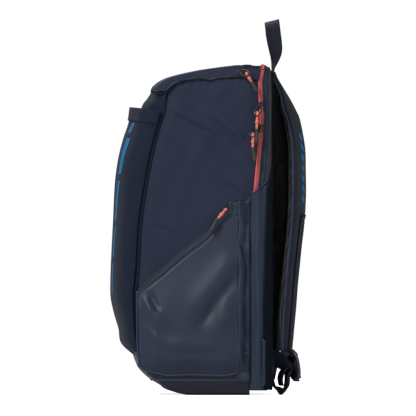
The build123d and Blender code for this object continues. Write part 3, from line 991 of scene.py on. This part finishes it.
def pad_block(label, node, low, high, dents):
    """A foam pad swollen by simulation, then pressed with channels that stop short of its sides.
    Its darkened mesh is painted shade.
    """
    middle, half = (low + high) / 2, (high - low) / 2

    def shape(u, v):
        a = u * 2 * pi
        front = v < 0.7
        r = min(1.0, v / 0.6) if front else 1 - (v - 0.7) / 0.3
        power = 2 / mix(2.2, 30, r)
        # Rounding makes the seam meet itself, as the voxels need a closed form.
        c, s = round(cos(a), 9), round(sin(a), 9)
        x = (PAD_HALF - PAD_PUFF) * r * signed_power(c, power)
        z = middle + (half - PAD_PUFF) * r * signed_power(s, power)
        depth = max(PAD_THINNEST, curve(PAD_FACE, z) - 1.2 - PAD_ROOT)
        level = min(1.0, (0.7 - v) / 0.1) if front else 0.0
        return x, PAD_ROOT + depth * level, z

    pad = skin(label, shape, 150, 60, SHADED_PAD_MESH)
    pad.modifiers.clear()
    puffed(pad, PAD_PUFF, lambda x, y, z: y < PAD_ROOT + 1.5)
    for vertex in pad.data.vertices:
        x, y, z = vertex.co / MM
        y = min(y, max(curve(PAD_FACE, z) + 0.2, PAD_ROOT + PAD_THINNEST + 0.2))
        channel = sum(bump_at(z - 0.12 * abs(x), d, 3.6) for d in dents) * step(20, 42, 92 - abs(x))
        channel += bump_at(x, 0, 6) * step(0, 30, half - abs(z - middle))
        pressed = 1 - CHANNEL_DEPTH * min(1, channel)
        vertex.co.y = MM * (PAD_ROOT + (y - PAD_ROOT) * pressed)
    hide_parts(node)

    wider, taller = 1 + PAD_PUFF / PAD_HALF, 1 + PAD_PUFF / half
    rim = [shape(i / 160, 0.6) for i in range(160)]
    rim = [(x * wider, PAD_ROOT + 1.4, middle + (z - middle) * taller) for x, _, z in rim]
    tube(f"{label}_binding", rim, 1.5, WEB, closed=True)


pad_block("back_pad_upper_mesh", "back_pad_upper", 239.5, 462, (300, 345, 390, 430))
pad_block("back_pad_lower_mesh", "back_pad_lower", 17, 238.5, (60, 105, 150, 195))
# The bridge and top roll take the pads' darkened mesh, painted shade
for label, y, z, radius in (("bridge", BACK + 14.4, 239, 13.6), ("top_roll", 102, 457.8, 10.6)):
    roll = [(x, y, z) for x in np.linspace(-PAD_HALF + 3, PAD_HALF - 3, 12)]
    tube(f"back_pad_{label}", roll, radius, SHADED_PAD_MESH, sides=20)


# ---- shoulder straps

# Tables of height to a strap's middle line sideways, its outer face's depth, breadth and gauge
STRAP_X = [(70, 110), (128, 106), (176, 101), (224, 94), (272, 88), (320, 82), (368, 76),
           (416, 70), (452, 67), (476, 66)]
STRAP_Y = [(70, 127.5), (128, 132), (176, 136), (224, 141), (272, 145.5), (320, 146.5),
           (368, 145.5), (392, 142.5), (416, 137), (428, 132), (440, 127.6), (452, 122.8),
           (464, 116.6), (476, 109.5), (486, 105.5)]
STRAP_WIDE = [(66, 34), (76, 42), (92, 46), (128, 54), (176, 58), (224, 62), (272, 66),
              (320, 68), (368, 68), (416, 66), (452, 62), (474, 56), (481, 50), (486, 40)]
STRAP_GAUGE = [(66, 8), (74, 11.5), (100, 12.5), (128, 13), (400, 13), (428, 11), (440, 10),
               (452, 8.5), (464, 6.5), (474, 4.5), (486, 3)]
STRAP_LOW, STRAP_HIGH = 66.0, 486.0
STRAP_TURN = radians(13)
EDGES = (("inner", -1), ("outer", 1))


def strap_point(side, z, across, depth):
    """across runs from -1 (inner edge) to 1 (outer edge); depth goes in from the outer face."""
    half = curve(STRAP_WIDE, z) / 2
    turn = STRAP_TURN * (1 - step(420, 476, z))
    crown = 2.4 * (1 - across * across) - 2.4
    swell = 2.0 * bump_at(z, 272, 9) * (1 - across * across)
    d = depth - crown - swell - 0.7 * ripple(across * 20, z, side * 7, 40, 3.0)
    x = curve(STRAP_X, z) + half * across * cos(turn) - d * sin(turn)
    y = curve(STRAP_Y, z) - half * across * sin(turn) - d * cos(turn)
    return side * x, y, z


def strap_face(side, u, v):
    """The woven face, which rolls over both edges of the foam."""
    roll = abs(u * 2 - 1)
    across = copysign(min(1.0, roll / 0.9), u - 0.5) * (1 - 0.02 * step(0.93, 1, roll))
    return strap_point(side, mix(STRAP_LOW, STRAP_HIGH, v), across,
                       4.2 * step(0.86, 1.0, roll))


def strap_foam(side, u, v):
    skin_depth = 1.4
    z = mix(STRAP_LOW + 1, STRAP_HIGH - 1, v)
    a = u * 2 * pi
    across = 0.985 * signed_power(cos(a), 0.35)
    lean = signed_power(sin(a), 0.45)
    inward = (curve(STRAP_GAUGE, z) - skin_depth) * (1 - lean) / 2
    return strap_point(side, z, across, skin_depth + inward)


def on_webbing(side, z, offset, depth):
    """A point of the strap at a real offset from its middle line."""
    return strap_point(side, z, offset / (curve(STRAP_WIDE, z) / 2), depth)


def webbing_strip(side, u, v):
    z = mix(60, 271, v)
    return on_webbing(side, z, (u * 2 - 1) * 12.5, -1.5 - 0.6 * bump_at(z, 271, 4))


def ribbon(name, stations, breadth, thick, body, count=90):
    """Webbing through stations of (centre, direction across), smoothly joined."""
    tables = [[[(i, station[part][k]) for i, station in enumerate(stations)] for k in range(3)]
              for part in (0, 1)]

    def shape(u, v):
        t = v * (len(stations) - 1)
        centre, across = (Vector([curve(table, t) for table in three]) for three in tables)
        return tuple(centre + across.normalized() * (u - 0.5) * breadth)

    return skin(name, shape, 10, count, WEB, body, thick)


def lock_parts(name, side, body):
    """A ladder lock: a bowed rail with rounded ends, four bars, a lip and its webbing."""
    centre_y, centre_z = 134.2, 44.5
    lean, bow, turn = 0.16, 0.0035, 0.42
    half_wide, half_tall = 15.5, 20.0

    def at(across, up, out):
        x = across * cos(turn) - out * sin(turn)
        y = across * sin(turn) + out * cos(turn)
        return side * (LOCK_X + x), centre_y + y - up * lean - bow * up * up, centre_z + up

    rail = []
    for i in range(72):
        a = 2 * pi * i / 72
        rail.append(at(half_wide * signed_power(cos(a), 0.45),
                       half_tall * signed_power(sin(a), 0.6), 0))
    rail_piece = tube(f"ladder_lock_rail_{name}", rail, 2.5, BUCKLE, body, sides=12, flat=0.9,
                      closed=True)
    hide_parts(f"ladder_lock_{name}")
    for k, (up, radius) in enumerate(((-17, 2.3), (-6.5, 1.7), (6, 1.7), (16, 2.3))):
        bar = sampled(lambda across: at(across, up, 0.6), -half_wide, half_wide, 13)
        tube(f"ladder_lock_bar_{k}_{name}", bar, radius, BUCKLE, body, sides=10)
    skin(f"ladder_lock_webbing_{name}",
         lambda u, v: at(mix(-12, 12, u), mix(-18, 18, v), -1.2 + 1.6 * sin(v * 3 * pi)),
         10, 40, WEB, body)
    lip = sampled(lambda t: at(mix(-9, 9, t), -22.5, 1.2 + 0.8 * sin(t * pi)), 0, 1, 13)
    tube(f"ladder_lock_lip_{name}", lip, 1.8, BUCKLE, body, sides=10)


LOCK_LOW, LOCK_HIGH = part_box("ladder_lock_right")
LOCK_X = (LOCK_LOW.x + LOCK_HIGH.x) / 2 / MM

# The adjuster webbing as breadth, whether it rides the strap, and its stations: each has a
# place, with x from the lock's middle, and a direction across. The webbing runs from the wing
# tab to the lock, the loop goes under it, the tail is its loose end, and the hanger goes from
# the strap's foot round the lock's upper bar.
ADJUSTER = {
    "webbing": (24, False, [
        (6, 95.5, 60, 0.45, 0.3, 0.85), (2, 104, 56, 0.5, 0.45, 0.75),
        (0, 114, 50, 0.55, 0.5, 0.68), (0, 122, 44, 0.7, 0.45, 0.55),
        (0, 129.5, 39, 1, 0.15, 0.1)]),
    "loop": (22, False, [
        (3, 98.5, 34, 0.95, 0.25, 0.1), (2, 101, 20, 0.95, 0.26, 0),
        (0, 105.5, 10, 0.93, 0.25, -0.25), (0, 114, 5, 0.93, 0.05, -0.35),
        (0, 122, 10, 0.95, 0.25, 0.2), (0, 124, 20, 0.95, 0.26, 0),
        (0, 124.5, 32, 0.95, 0.26, 0), (0, 129, 39, 1, 0.2, 0)]),
    "tail": (20, True, [
        (0, 130.5, 44, 1, 0.1, 0), (0, 125, 41, 0.95, 0.25, 0.1),
        (-1, 117, 35, 0.92, 0.3, 0.15), (-2, 113.5, 24, 0.94, 0.3, 0),
        (-2, 114.5, 14, 0.94, 0.3, 0)]),
    "hanger": (24, True, [
        (0, 121, 80, 1, 0, 0), (0, 127, 68, 1, 0.05, 0), (0, 132.5, 60, 1, 0.05, 0),
        (0, 129.5, 59, 1, 0.05, 0), (0, 122, 70, 1, 0, 0)]),
}
FOOT_FOLD = [(0, 115, 82, 1, 0, 0), (0, 114, 73, 1, 0, 0), (0, 118.5, 65, 1, 0, 0),
             (0, 125, 59, 1, 0, 0)]


def placed_stations(rows, side):
    return [((side * (LOCK_X + x), y, z), (side * wx, wy, wz)) for x, y, z, wx, wy, wz in rows]


for name, side in SIDES.items():
    body = f"strap_{name}"
    foam = skin(f"strap_foam_{name}", partial(strap_foam, side), 60, 150, MESH, None, 0.8)
    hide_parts(f"strap_pad_{name}")
    face = skin(f"strap_face_{name}", partial(strap_face, side), 44, 170, STRAP, None, 1.0)
    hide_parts(f"strap_cover_{name}")
    rooted = [foam, face]
    for label, across in EDGES:
        edge = sampled(lambda z: strap_point(side, z, across, 4.8), STRAP_LOW, STRAP_HIGH, 141)
        rooted.append(tube(f"strap_binding_{label}_{name}", edge, 1.7, PIPING_PAINTED_HIGHLIGHT, None,
                           "textile_navy"))
        run = sampled(lambda z: strap_point(side, z, across * 0.86, -0.7), 276, 466, 121)
        stitching(f"strap_stitches_{label}_{name}", run, body)
    for piece in rooted:
        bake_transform(piece)
    strip = skin(f"strap_webbing_{name}_textile", partial(webbing_strip, side), 12, 130, WEB, body)
    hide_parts(f"strap_webbing_{name}")
    for label, across in EDGES:
        run = [on_webbing(side, z, across * 10.6, -2.6) for z in np.linspace(84, 262, 90)]
        stitching(f"strap_webbing_stitches_{label}_{name}", run, body)
    for place in (266, 258, 92):
        row = [on_webbing(side, place, a * 11, -2.8) for a in np.linspace(-1, 1, 12)]
        tube(f"strap_bartack_{place}_{name}", row, 0.9, THREAD, body, flat=0.6)
    # The generic print: slanted bars up the strap
    for i in range(7):
        def bar(u, v):
            z = 290 + i * 15.5 + 9.5 * v + 7 * (u - 0.5)
            return strap_point(side, z, mix(-0.3, 0.2, u), -0.75)

        skin(f"strap_print_{i}_{name}", bar, 10, 6, PRINT, body, 0.3)

    lock_parts(name, side, body)
    for label, (breadth, on_strap, rows) in ADJUSTER.items():
        piece = ribbon(f"adjuster_{label}_{name}", placed_stations(rows, side), breadth, 1.7,
                       body if on_strap else None)
        if not on_strap:
            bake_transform(piece)
        if label == "webbing":
            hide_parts(f"adjuster_webbing_{name}")
    ribbon(f"strap_foot_fold_{name}", placed_stations(FOOT_FOLD, side), 30, 8, body, 24)

    def wing(u, v):
        """A folded triangle of cloth sewn into the rear corner, which holds the webbing."""
        z = mix(mix(14, 33, u), mix(84, 58, u), v)
        x = mix(HALF + 2.2, LOCK_X + 4, u ** 1.6)
        y = mix(86, 101.5, u ** 0.8) + 1.6 * sin(v * pi) * u
        return side * x, y, z

    tab = skin(f"wing_cloth_{name}", wing, 24, 30, COATED, thick=1.8)
    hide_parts(f"wing_tab_{name}")
    corners = [wing(i / 20, 1) for i in range(21)] + [wing(1, 1 - i / 20) for i in range(21)]
    corners += [wing(1 - i / 20, 0) for i in range(21)]
    tube(f"wing_binding_{name}", corners, 1.3, PIPING_PAINTED_HIGHLIGHT)


# ---- carry handle

# One leg's places and directions across, from the root up to beside the middle
HANDLE_LEG = [
    ((44, 102.2, 484), (1, 0.05, 0)), ((44.5, 103, 492), (1, 0.12, 0)),
    ((45.5, 106.2, 506), (0.87, 0.5, 0)), ((45, 106.6, 518), (0.6, 0.8, 0)),
    ((42.5, 105, 531), (0.3, 0.95, 0)), ((38.5, 103.2, 543), (0, 1, 0.05)),
    ((30, 102, 553.5), (0, 1, 0.15)), ((17, 101.2, 560.5), (0, 1, 0.22)),
]
stations = HANDLE_LEG + [((0, 100.9, 562.6), (0, 1, 0.25))]
stations += [((-x, y, z), (-wx, wy, wz)) for (x, y, z), (wx, wy, wz) in reversed(HANDLE_LEG)]
handle = ribbon("handle_webbing", stations, 22.5, 2.6, "carry_handle", 220)
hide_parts("carry_handle")


# ---- zip sliders and pulls

def slider_piece(label, place, heading, side, size):
    """A die-cast slider: a waisted body with a bridge over it."""
    verts = []
    rows, ring = 15, 12
    for j in range(rows):
        t = j / (rows - 1) * 2 - 1
        half = (3.6 - 1.0 * (1 - t * t) ** 2) * size * (1 - 0.35 * abs(t) ** 6)
        for k in range(ring):
            a = 2 * pi * k / ring
            verts.append((1.7 + 1.7 * signed_power(sin(a), 0.5),
                          half * signed_power(cos(a), 0.5), t * 5 * size))
    faces = ring_faces(rows, ring)
    arch = [(3.2 + 2.4 * sin(a), 0, 3.4 * cos(a) * size)
            for a in (pi * (i / 10) for i in range(11))]
    for p, q in zip(arch, arch[1:]):
        rod_into(verts, faces, p, q, 0.95, 8)
    turn = radians(heading - 90)
    cy, cz = cos(turn), sin(turn)
    placed = [(side * (place[0] + x), place[1] + y * cy - z * cz, place[2] + y * cz + z * cy)
              for x, y, z in verts]
    return finish_mesh(f"slider_{label}_cast", placed, faces, METAL, f"slider_{label}")


def girth(t):
    """The grip's radius along its length: rounded ends and fine ribs between them."""
    ribs = 0.22 * max(0.0, sin(t * 2 * pi * 9)) * step(0.12, 0.2, t)
    near = min(t, 1 - t) / 0.08
    ends = sqrt(max(0.0, 1 - (1 - near) ** 2)) if near < 1 else 1.0
    return 3.3 * max(0.35, ends) * (0.93 + 0.07 * t) - ribs * step(0.1, 0.2, 1 - t)


def pull_piece(label, anchor, knot, neck, tip, side):
    """A bail that stays with its slider, a knotted coral cord and a ribbed rubber grip."""
    body = f"pull_{label}"
    anchor, knot, neck, tip = (Vector(p) for p in (anchor, knot, neck, tip))
    outward = Vector((side, 0, 0))
    toward = (knot - anchor).normalized()
    flat = outward.cross(toward).normalized()
    past_knot, wide = (3, 3.3) if "pocket" in label else (5.5, 4.2)
    reach = (knot - anchor).length + past_knot
    ring = []
    for i in range(36):
        a = 2 * pi * i / 36
        ring.append(anchor + toward * (reach / 2 * (1 - cos(a)))
                    + flat * (wide * signed_power(sin(a), 0.8)))
    tube(f"bail_{label}", ring, 0.95, METAL, f"slider_{label}", closed=True)

    way = (neck - knot).normalized()
    spread = outward.cross(way).normalized()
    length = (neck - knot).length
    for strand, letter in ((-1, "b"), (1, "a")):
        def cord(t):
            gap = 0.5 + 0.4 * sin(t * pi) ** 0.7
            return (knot - way * 2.0 + way * (length + 3) * t + spread * gap * strand
                    + outward * 0.5 * strand)

        piece = tube(f"pull_loop_{label}_{letter}", sampled(cord, 0, 1, 25), 0.85, CORD, body)
    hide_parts(f"pull_cord_{label}")
    turns = 3.4
    for place, radius in ((0.08, 1.5), (0.55, 1.8)):
        middle = knot.lerp(neck, place)

        def coil(t):
            a = t * turns * pi
            return (middle + way * (t * turns - turns / 2) + spread * radius * cos(a)
                    + outward * radius * sin(a))

        tube(f"pull_knot_{label}_{place}", sampled(coil, 0, 1, 40), 1.0, CORD, body, sides=6)
    core = [neck - way * 1.0 + (tip - neck) * (i / 60) for i in range(61)]
    grip = tube(f"grip_{label}", core, girth, RUBBER, body, sides=20)
    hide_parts(f"pull_grip_{label}")


# The slider's (y, z) and heading in degrees, then the (y, z) of knot, neck and tip
MAIN_PULL = ((54, 486), 10, (62, 483), (70, 469.5), (79, 454))
POCKET_PULL = ((37, 286), 42, (31, 279), (18.5, 265), (8, 246))
PULLS = {
    "main_right": (1, *MAIN_PULL),
    "main_left": (-1, *MAIN_PULL),
    "pocket_right": (1, *POCKET_PULL),
    "pocket_left": (-1, *POCKET_PULL),
    "racket_upper": (1, (84.5, 435), 90, (78.5, 424), (77.5, 399), (77.5, 377)),
    "racket_lower": (1, (83.5, 401), 90, (72, 392), (71.5, 371), (74.5, 349.5)),
}
for label, (side, middle, heading, knot, neck, tip) in PULLS.items():
    grip_low, grip_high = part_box(f"pull_grip_{label}")
    out = (grip_low.x + grip_high.x) / 2 / MM
    low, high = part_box(f"slider_{label}")
    near = min(abs(low.x), abs(high.x)) / MM
    cast = slider_piece(label, (near - 0.6, *middle), heading, side,
                        1.0 if "pocket" in label else 1.15)
    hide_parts(f"slider_{label}")
    anchor = (side * (near + 4.6), *middle)
    pull_piece(label, anchor, (out, *knot), (out, *neck), (out, *tip), side)


# ---- front print

# The bars of each side's print, from the top: two places across, then two heights
PRINT_BARS = ((0.36, 0.45, 394, 409), (0.33, 0.46, 332, 386), (0.31, 0.40, 262, 322),
              (0.29, 0.36, 208, 252), (0.29, 0.35, 152, 198))
for name, side in SIDES.items():
    for i, (s0, s1, z0, z1) in enumerate(PRINT_BARS):
        low, high = sorted((side * s0, side * s1))

        def bar(u, v):
            return pocket_surface(mix(low, high, u) + side * 0.05 * (v - 0.5), mix(z0, z1, v),
                                  BAND_OUT)

        skin(f"front_print_{i}_{name}", bar, 16, 60, PRINT, thick=0.3)


# ---- set

def seen_by_camera(tree, share):
    """A share for rays that come straight from the camera, and none for the others."""
    seen = tree.nodes.new("ShaderNodeLightPath").outputs["Is Camera Ray"]
    return blend_values(tree, "MULTIPLY", seen, share)


def floor_and_world():
    bpy.ops.mesh.primitive_plane_add(size=400, location=(0, 0, 0))
    floor = bpy.context.object
    floor.name = "floor"
    mat, tree, shader = new_material("floor", 1.0, specular=0.0)
    set_inputs(shader, Base_Color=(0.8, 0.8, 0.8, 1), Emission_Color=(1, 1, 1, 1))
    tree.links.new(seen_by_camera(tree, 0.78), shader.inputs["Emission Strength"])
    floor.data.materials.append(mat)
    world = bpy.data.worlds.new("studio")
    world.use_nodes = True
    tree = world.node_tree
    background = tree.nodes["Background"]
    set_inputs(background, Color=(1, 1, 1, 1))
    strength = blend_values(tree, "ADD", seen_by_camera(tree, 0.75), 0.32)
    tree.links.new(strength, background.inputs["Strength"])
    scene.world = world


LAMPS = {                # place, power and size
    "key": ((2.0, -1.5, 2.3), 112, 0.7),
    "fill": ((2.9, 0.5, 1.0), 10, 1.4),
    "rear": ((0.6, 2.6, 1.6), 22, 1.0),
    "far": ((-2.2, -0.6, 2.0), 40, 1.2),
}


def lamps():
    for name, (place, power, size) in LAMPS.items():
        data = bpy.data.lights.new(name, "AREA")
        data.energy = power
        data.size = size
        lamp = bpy.data.objects.new(name, data)
        lamp.location = place
        aim = Vector((0, 0, 0.28)) - Vector(place)
        lamp.rotation_euler = aim.to_track_quat("-Z", "Y").to_euler()
        scene.collection.objects.link(lamp)


PICTURE_WIDTH = 416     # in pixels
PIXEL = 1.5 * MM        # what one pixel covers at the bag


def camera():
    """A long lens square on to the bag's right side."""
    distance = 20.0
    data = bpy.data.cameras.new("camera")
    data.clip_end = 1000
    data.sensor_width = 36
    data.lens = data.sensor_width * distance / (PICTURE_WIDTH * PIXEL)
    cam = bpy.data.objects.new("camera", data)
    cam.location = (HALF * MM + distance, 0.0045, 0.281)
    cam.rotation_euler = (pi / 2, 0, pi / 2)
    scene.collection.objects.link(cam)
    scene.camera = cam


floor_and_world()
lamps()
camera()
scene.view_settings.view_transform = "Standard"
